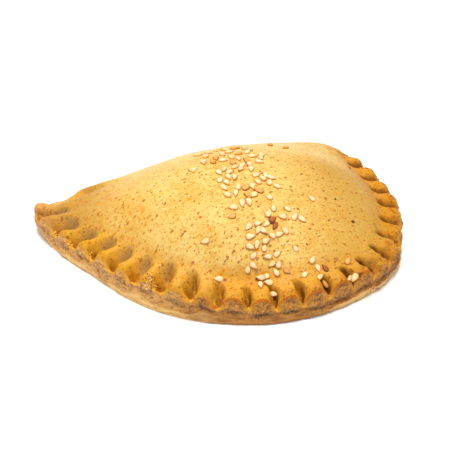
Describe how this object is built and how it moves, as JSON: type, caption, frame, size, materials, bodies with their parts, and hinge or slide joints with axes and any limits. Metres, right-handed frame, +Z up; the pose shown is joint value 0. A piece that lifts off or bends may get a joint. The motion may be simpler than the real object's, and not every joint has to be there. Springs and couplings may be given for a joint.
{
  "type": "empanada",
  "caption": "Half-moon baked pie of golden dough, folded along its back and crimped round its front, with a pointed tip and sesame seeds sprinkled across the top.",
  "frame": {"origin": "on the resting plane, under the middle of the pie's bounding box", "axes": "+X from the pointed tip to the blunt crimped end, +Y from the crimped front to the folded back, +Z up"},
  "size_m": [0.122, 0.0759, 0.0337],
  "materials": {
    "crust": "baked golden dough, dull, with cream sesame seeds"
  },
  "bodies": {
    "root": {"seeded_pie": "crust"}
  },
  "joints": []
}
